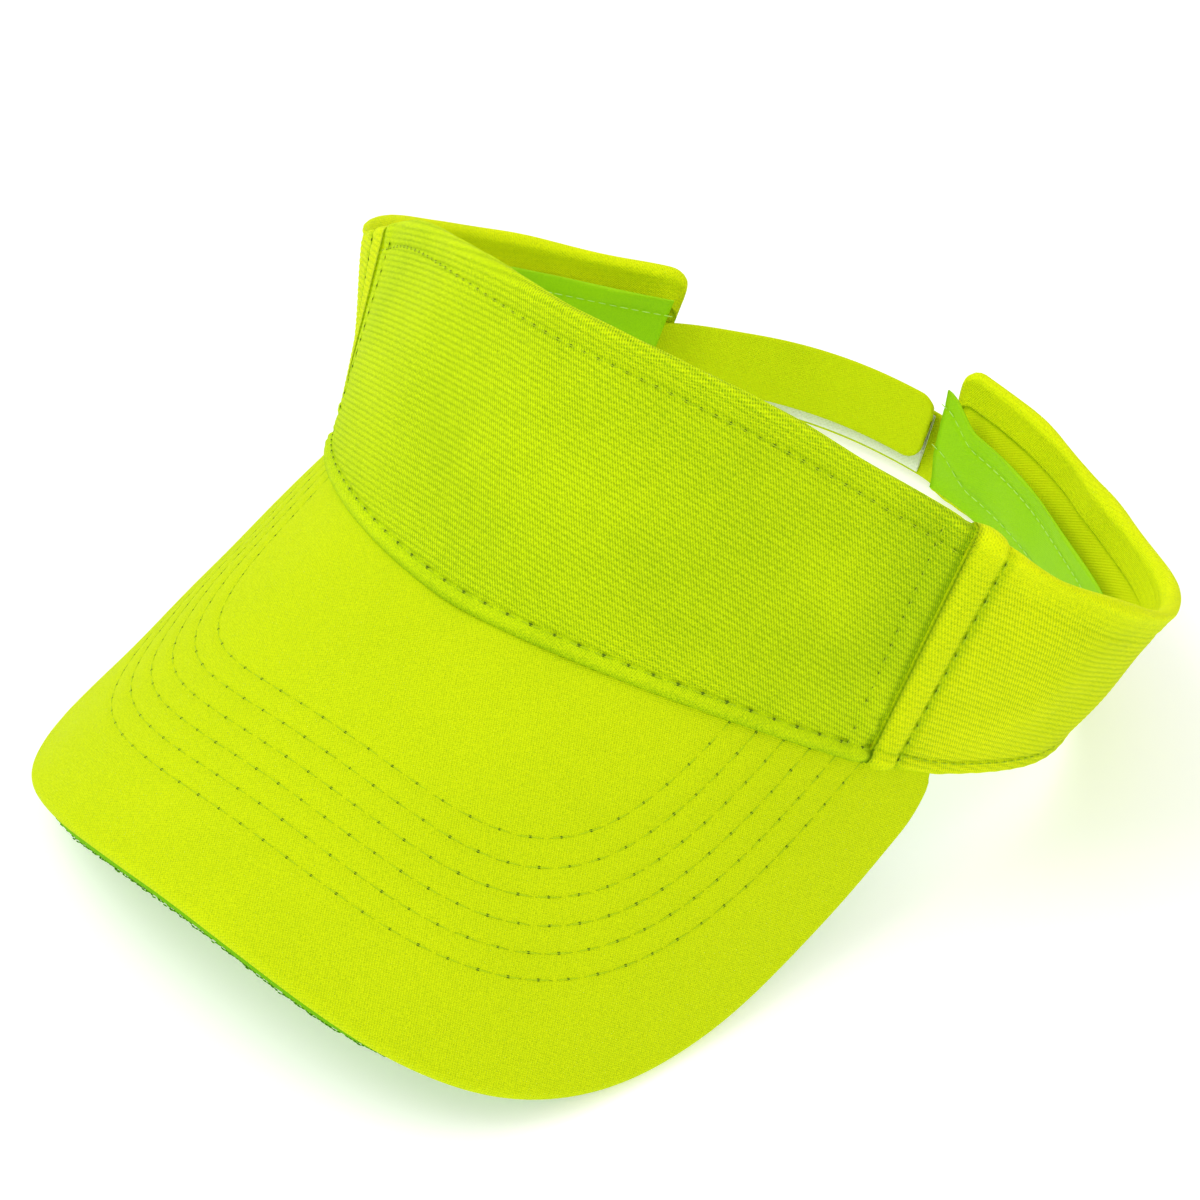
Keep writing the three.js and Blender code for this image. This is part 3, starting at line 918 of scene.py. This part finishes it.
inner_cloth = cloth_finish("inner_twill", colour("f4fc08"), colour("dcec04"), 0.0009, 0.0001, slant=0.2)
front_angles = columns_between(-seam_angle, seam_angle, 1.5)
front_top = wall_height(front_angles)
lining_section = joined(len(front_angles), straight(
    -1.6, front_top - 6.2, lining_middle, lining_middle, 30))
front_lining = cloth_strip(
    "front_lining_cloth", front_angles, lining_section, 0.5, flat_relief, inner_cloth,
    middle=lining_middle,
)
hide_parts("front_lining")
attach(front_lining, "front")
buckram = hard_finish("buckram", colour("f2f2ec"), colour("dfdfd6"), 900.0, 1e-4, 0.9)
stiffener_end = angle_of(front_run - stiffener_short)
front_angles = columns_between(-stiffener_end, stiffener_end, 1.5)
front_top = wall_height(front_angles)
stiffener_section = joined(len(front_angles), straight(
    2.4, front_top - 3.4, stiffener_middle, stiffener_middle, 40))
stiffener = cloth_strip(
    "front_stiffener_sheet", front_angles, stiffener_section, 0.8, flat_relief, buckram,
    middle=stiffener_middle,
)
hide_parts("front_stiffener")
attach(stiffener, "front")

# ---- Seam tapes ----
# A narrow woven tape on each side, stitched over the raw edges where the front panel and a side
# panel meet.

tape_cloth = cloth_finish("seam_tape_weave", colour("e0f010"), colour("c4de08"), 0.0007, 0.0001)
for side, sign in (("left", 1), ("right", -1)):
    tape_angles = columns_between(
        sign * angle_of(front_run - 7), sign * (seam_angle - 0.19), 0.8)
    tape_top = wall_height(tape_angles) - hem_width - 1
    tape_section = joined(len(tape_angles), straight(1.2, tape_top, tape_middle, tape_middle, 40))
    tape = cloth_strip(
        f"seam_tape_{side}_cloth", tape_angles, tape_section, 0.45, flat_relief, tape_cloth,
        middle=tape_middle,
    )
    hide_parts(f"seam_tape_{side}")
    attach(tape, "front")

# ---- Side panels ----
# Two soft ribbed panels, cut lower towards the back. Each is turned up at the foot, folded over at
# the top, closed at its rear end, and lies with a stitched-down edge over the front panel's seam.

side_rib_pitch = 1.34
seam_welt = 7.0
foot_stitch = 3.7
corner_radius = 5.0
panel_ends = {"left": 173, "right": 137}
bend_length = 16
bend_height = 30
turned_up = 4.2


def side_cut_away(run):
    behind = np.abs(run) - front_run - 17
    return 0.25 * (np.sqrt(behind ** 2 + 64) + behind) / 2


def end_nose(to_end, radius=1.7, least=0.16):
    inside = np.clip(1 - to_end / radius, 0, 1)
    return np.maximum(np.sqrt(1 - inside ** 2), least)


def corner_loss(to_end, radius):
    inside = np.clip(radius - to_end, 0, radius)
    return radius - np.sqrt(radius ** 2 - inside ** 2)


def across_joint(piece, joint_name, along_point):
    """Looks up the joint and works out its axis and the way from it to along_point, which are not used
    further, then bakes the piece's placement into its mesh; the cloth does not bend over the joint.
    """
    joint = next(j for j in frame["joints"] if j["name"] == joint_name)
    axis = Vector(joint["axis"]).normalized()
    start = Vector(joint["pos_m"])
    direction = Vector(along_point) - start
    direction = (direction - axis * direction.dot(axis)).normalized()
    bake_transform(piece)


def over_panel_seam(piece, side):
    """Picks a point on the side panel just behind the front panel's seam and passes the piece to
    across_joint with that side's panel-opening joint.
    """
    sign = 1 if side == "left" else -1
    ahead = wall_point(sign * angle_of(front_run + bend_length), bend_height, wall_middle)
    across_joint(piece, f"{side}_panel_open", ahead)


side_cloth = cloth_finish(
    "side_rib", colour("eefa03"), colour("a8ca02"), 0.00064, 0.00018, slant=0.4, ribs=0.00134)
side_pieces = {}
for side, sign in (("left", 1), ("right", -1)):
    seam_run = run_of(seam_angle)
    end_run = run_of(panel_ends[side])
    angles = sign * columns_between(seam_angle + 0.05, panel_ends[side], 1.15)
    finer = sign * angle_of(end_run - np.array([1.0, 0.72, 0.48, 0.28, 0.12, 0.0]))
    angles = np.concatenate([angles[:-1], finer])
    runs = np.abs(run_of(angles))
    to_end = end_run - runs
    top = wall_height(angles) - corner_loss(to_end, corner_radius)
    nose = end_nose(to_end)

    def side_relief(run, height, path, end_run=end_run, side=side):
        run = np.abs(run)
        to_end = end_run - run
        behind = run - seam_run
        full = wall_height(angle_of(run)) - corner_loss(to_end, corner_radius)
        up = path - turned_up
        on_face = (up > 0.5) & (up < full - 1)
        raised = rib(path + side_cut_away(run), side_rib_pitch, 0.13) * smooth(0.5, 2, to_end)
        raised = raised * (1 - 0.85 * smooth(full - 8, full - 2, up))
        strip = np.sin(np.pi * np.clip(behind / seam_welt, 0.06, 1)) ** 0.6
        strip = strip * smooth(full + 4, full, up) * (1 if side == "left" else 0.35)
        raised = raised * (1 - 0.5 * strip) + 1.25 * strip
        raised = raised - 0.55 * dip(behind - seam_welt - 0.2, 0.9) * on_face
        puckers = dip(behind - seam_welt - 1.6, 1.6) * on_face * np.sin(up * 2 * np.pi / 4.3 + 1)
        raised = raised + 0.22 * puckers + 0.65 * dip(up - full - 0.2, 2.6)
        raised = raised + 0.35 * dip(up - 1.6, 1.5) - 0.4 * dip(up - foot_stitch, 0.6) * on_face
        raised = raised - 0.28 * dip(up - full + hem_width, 0.9) * on_face * smooth(2, 9, behind)
        raised = raised - 0.3 * dip(to_end - 4.2, 0.8) * on_face
        pucker = 0.45 * soft_noise(run * 1.4, up * 0.5, 30, 21) * smooth(8, 30, up)
        pucker = pucker * smooth(full + 3, full - 9, up) + 0.3 * soft_noise(run, up, 34, 8)
        return raised + pucker * smooth(3, 14, behind) * smooth(1, 6, to_end)

    def side_show(run, height, path, end_run=end_run, edge_shade=1 if side == "left" else 0.3):
        run = np.abs(run)
        behind = run - seam_run
        full = wall_height(angle_of(run)) - corner_loss(end_run - run, corner_radius)
        up = path - turned_up
        ribs = 1 - 0.8 * smooth(full - 9, full - 3, up)
        ribs = ribs * (1 - 0.25 * smooth(seam_welt + 0.5, seam_welt - 1, behind))
        # Painted light and shade: the top fold is lighter, and the cloth is darker at the seam edge, in
        # a band behind the seam strip and along the foot stitches.
        light = 1 + 0.25 * smooth(full - 4, full, up) - 0.35 * edge_shade * dip(behind, 0.7)
        light = light - 0.4 * dip(behind - seam_welt - 0.5, 1.1) * (up < full - 1)
        return ribs * smooth(0, 2, up), light - 0.2 * dip(up - foot_stitch, 0.5) * (up < full)

    section = joined(
        len(angles),
        straight(4.6, 2.1, -2.25, -2.3, 5),
        arc((2.0, -1.4), 0.9, -180, 0, 9),
        straight(2.2, top - 1.7, face_middle, face_middle, 220),
        (top[:, None] - 1.7 + fold_radius * np.sin(fold_turns),
         wall_middle + fold_radius * np.cos(fold_turns) + 0 * top[:, None]),
        tuple(part[:, 1:] for part in straight(top - 1.7, top - hem_width, -2.9, -2.95, 26)),
    )
    shell = cloth_strip(
        f"{side}_panel_cloth", angles, section, cloth_thickness, side_relief, side_cloth, nose=nose,
        shear=side_cut_away, show=side_show,
    )
    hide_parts(f"{side}_side_shell", f"{side}_top_hem")

    inside = to_end > 2.2
    lining_section = joined(
        inside.sum(), straight(3.4, top[inside] - 4.2, -1.7, -2.1, 30))
    lining = cloth_strip(
        f"{side}_lining_cloth", angles[inside], lining_section, 0.6, flat_relief, inner_cloth,
    )
    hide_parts(f"{side}_side_lining")
    side_pieces[side] = [shell, lining]

# ---- Sweatband ----
# A folded tape of smooth bright green cloth round the inside, joined in at the foot. Two rows of pale
# stitches run below its upper edge, which is free and stands away from the side panels.

sweat_height = 38
sweat_row_drops = (4, 15)
front_foot_height, side_foot_height = -2.6, 2.0
front_foot_offset, side_foot_offset = -4.7, -3.3
sweat_cloth = cloth_finish(
    "sweat_satin", colour("a8dc04"), colour("8cca03"), 0.0006, 0.00004, roughness=0.55, blotch=0.3,
    knit=0.06)


def sweat_lean(run):
    """How far the free upper edge stands in from the wall."""
    side = np.abs(run) - front_run
    return 1.0 + 3.6 * smooth(0, 45, side)


def sweat_top(angle):
    left = smooth(60, 100, np.asarray(angle, float))
    to_end = run_of(panel_ends["left"]) - np.abs(run_of(angle))
    under_hem = 5.7 + 5.4 * left * smooth(1, 15, to_end)
    return np.minimum(sweat_height, wall_height(angle) - under_hem)


def sweat_relief(run, height, path):
    top = sweat_top(angle_of(run))
    raised = sum(-0.22 * dip(top - height - down, 0.7) for down in sweat_row_drops)
    return raised + 0.22 * soft_noise(run, height, 22, 31)


def sweat_section(angles, foot_height, foot_offset, share):
    top = sweat_top(angles)
    height = foot_height + (top[:, None] - foot_height) * share
    lean = sweat_lean(run_of(angles))[:, None]
    bulge = 0.5 * np.sin(np.pi * np.clip(share * 1.1, 0, 1))
    offset = foot_offset + (-5.2 - foot_offset) * ease(share * 2.2) - lean * share ** 1.6 - bulge
    return height, offset


def wall_row(angles, height, offset, outside=1):
    """A row of stitches on the wall: its points and the ways the cloth faces there."""
    low = wall_point(angles, height, offset)
    high = wall_point(angles, height, offset + outside)
    return low, high - low


sweat_rows = {"front": [], "left": [], "right": []}
for side, start, stop in (
    ("front", -seam_angle, seam_angle),
    ("left", seam_angle, panel_ends["left"] - 0.6),
    ("right", -seam_angle, -panel_ends["right"] + 2.6),
):
    angles = columns_between(start, stop, 1.6)
    blend_in = smooth(0, 12, np.abs(run_of(angles)) - front_run)
    foot_height = (front_foot_height + (side_foot_height - front_foot_height) * blend_in)[:, None]
    foot_offset = (front_foot_offset + (side_foot_offset - front_foot_offset) * blend_in)[:, None]
    section = sweat_section(angles, foot_height, foot_offset, np.linspace(1, 0, 66)[None, :])
    for down in sweat_row_drops:
        share = 1 - down / (sweat_top(angles)[:, None] - foot_height)
        at = [part[:, 0] for part in sweat_section(angles, foot_height, foot_offset, share)]
        sweat_rows[side].append(wall_row(angles, at[0], at[1] - 0.62, outside=-1))
    sweat = cloth_strip(
        f"{side}_sweatband_cloth", angles, section, 0.9, sweat_relief, sweat_cloth, skip=2,
    )
    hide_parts("sweatband_front" if side == "front" else f"{side}_sweatband")
    if side == "front":
        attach(sweat, "front")
    else:
        side_pieces[side].append(sweat)

for side, pieces in side_pieces.items():
    for piece in pieces:
        over_panel_seam(piece, side)

# ---- Closure straps ----
# Two straps of the side cloth, hemmed along both edges and lapped over each other at the back. The
# outer one carries white hook tape on its inner face, the inner one a soft loop pile.

strap_height = 17
strap_inset = 5.5
strap_drop = 3
strap_thickness = 1.2
left_strap_end = 208
right_strap_end = 175.5
left_strap_root = 170.5
right_strap_root = 225.0
tape_inset = 0.4
hook_outer = -1.5
loop_outer = -2.6
right_strap_outer = -3.7
root_outer = -1.0


def strap_relief(tip_run, low, high):
    def relief(run, height, path):
        to_tip = np.abs(run - tip_run)
        edge = np.minimum(height - low, high - height)
        ridge = 0.4 * smooth(3.6, 2.2, edge) - 0.3 * dip(edge - 3.8, 0.6)
        ridge = ridge - 0.25 * dip(to_tip - 3.2, 0.6)
        return ridge + 0.12 * soft_noise(run, height, 18, 41)
    return relief


def strap(name, start, tip, low, outer, shift, finish, thickness, margin=0.0, relief=None, rows=44):
    angles = columns_between(start, tip, 0.9)
    step = np.array([2.5, 1.9, 1.4, 1.0, 0.65, 0.35, 0.12, 0.0])
    toward = 1 if tip > start else -1
    finer = angle_of(run_of(tip) - toward * step)
    angles = np.concatenate([angles[np.abs(run_of(angles) - run_of(tip)) > 2.6], finer])
    to_tip = np.abs(run_of(angles) - run_of(tip))
    loss = corner_loss(to_tip, 5.0 - margin)
    bottom = low + margin + loss + thickness / 2
    top = low + strap_height - margin - loss - thickness / 2
    middle = outer - thickness / 2 + shift(angles)
    section = joined(len(angles), straight(bottom, top, middle, middle, rows))
    nose = end_nose(to_tip, thickness / 2, 0.2)
    half = thickness * nose
    return cloth_strip(
        name, angles, section, half[:, None], relief or flat_relief, finish, skip=2,
    )


def left_shift(angles):
    return -1.1 * (1 - ease((np.asarray(angles) - 171.5) / 4.2))


def right_shift(angles):
    return (root_outer - right_strap_outer) * ease(
        (np.asarray(angles) - left_strap_end) / (222.6 - left_strap_end))


strap_cloth = cloth_finish("strap_twill", colour("d6e604"), colour("bcce02"), 0.0009, 0.00012, slant=0.3)
left_low = strap_inset - strap_drop - 0.8
left_strap = strap(
    "left_strap_cloth", left_strap_root, left_strap_end, left_low, 0.0, left_shift, strap_cloth,
    strap_thickness, relief=strap_relief(run_of(left_strap_end), left_low, left_low + strap_height),
)
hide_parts("left_strap")

right_strap = strap(
    "right_strap_cloth", right_strap_root, right_strap_end, strap_inset, right_strap_outer, right_shift,
    strap_cloth, strap_thickness,
    relief=strap_relief(run_of(right_strap_end), strap_inset, strap_inset + strap_height),
)
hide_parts("right_strap")

hook_plastic = cloth_finish("hook_tape_weave", colour("fcfdf6"), colour("ecefe0"), 0.0012, 0.0001)
loop_pile = cloth_finish("loop_pile", colour("d2e620"), colour("b8d010"), 0.0008, 0.0002, slant=0.7)
hook_tape = strap(
    "left_hook_tape_strip", right_strap_end + tape_inset, left_strap_end - tape_inset, left_low,
    hook_outer, lambda angles: 0 * angles, hook_plastic, 0.4, margin=0.8,
)
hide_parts("left_hook_tape")
loop_tape = strap(
    "right_loop_tape_strip", left_strap_end - tape_inset, right_strap_end + tape_inset,
    strap_inset, loop_outer - 0.3, right_shift, loop_pile, 0.5, margin=1.5,
)
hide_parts("right_loop_tape")
for piece in (left_strap, hook_tape):
    across_joint(piece, "left_strap_peel", wall_point(180, 12, -0.6))
for piece in (right_strap, loop_tape):
    across_joint(piece, "right_strap_fold", wall_point(214, 12, -1.7))

# ---- Panel and sweatband stitching ----
# The same lockstitch elsewhere: a long stitch with open needle holes over the brim, finer ones along
# the front panel's hem and the side panels' foot and rear end, beside the seams and on the sweatband.

clear_of_seam = columns_between(-angle_of(front_run - 2.5), angle_of(front_run - 2.5), 0.6)
front_foot_rows = [wall_row(clear_of_seam, welt_height + 0.43, 0.05)]
front_foot = sew("front_foot_stitches", front_foot_rows, thread, painted_needle_hole_shade, 5.2, 4.2, 0.17, 1.1)
front_fine_rows = [wall_row(
    clear_of_seam, wall_height(clear_of_seam) - top_stitch_drop + 0.45, 0.04)]
for sign in (-1, 1):
    up = np.linspace(4, wall_height(sign * seam_angle) - 3, 120)
    angle = sign * angle_of(front_run - seam_stitch_in)
    front_fine_rows.append(wall_row(np.full(120, angle), up, 0.04))
front_fine = sew("front_panel_stitches", front_fine_rows, thread, painted_needle_hole_shade, 3.1, 2.3, 0.16, 0.85)
for piece in (front_foot, front_fine):
    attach(piece, "front")

pale_thread = plain_finish("sweatband_thread", "c8f470", 0.5)
# Sweatband needle holes: darker green discs of painted shade.
painted_hole_shade = plain_finish("sweatband_painted_hole_shade", "6cb808", 0.8)
for side, rows in sweat_rows.items():
    sewn = sew(f"{side}_sweatband_stitches", rows, pale_thread, painted_hole_shade, 2.8, 2.3, 0.14, 0.4)
    if side == "front":
        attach(sewn, "front")
    else:
        over_panel_seam(sewn, side)
for side, sign in (("left", 1), ("right", -1)):
    end_run = run_of(panel_ends[side])
    foot_angles = sign * columns_between(angle_of(front_run + 0.8), angle_of(end_run - 4.5), 0.6)
    rows = [wall_row(foot_angles, foot_stitch + 0.5, -0.1)]
    up = np.linspace(3, wall_height(sign * (seam_angle + 4)) - 3, 120)
    seam_row = wall_row(np.full(120, sign * angle_of(front_run + seam_welt + 0.4)), up, -0.14)
    end_angle = sign * angle_of(end_run - 4.2)
    up = np.linspace(3, wall_height(end_angle) - hem_width, 60)
    rows.append(wall_row(np.full(60, end_angle), up, -0.02))
    for sewn in (
        sew(f"{side}_panel_stitches", rows, thread, painted_needle_hole_shade, 2.6, 1.9, 0.16, 0.6),
        sew(f"{side}_seam_stitches", [seam_row], thread, painted_needle_hole_shade, 4.2, 3.2, 0.18, 1.0),
    ):
        over_panel_seam(sewn, side)
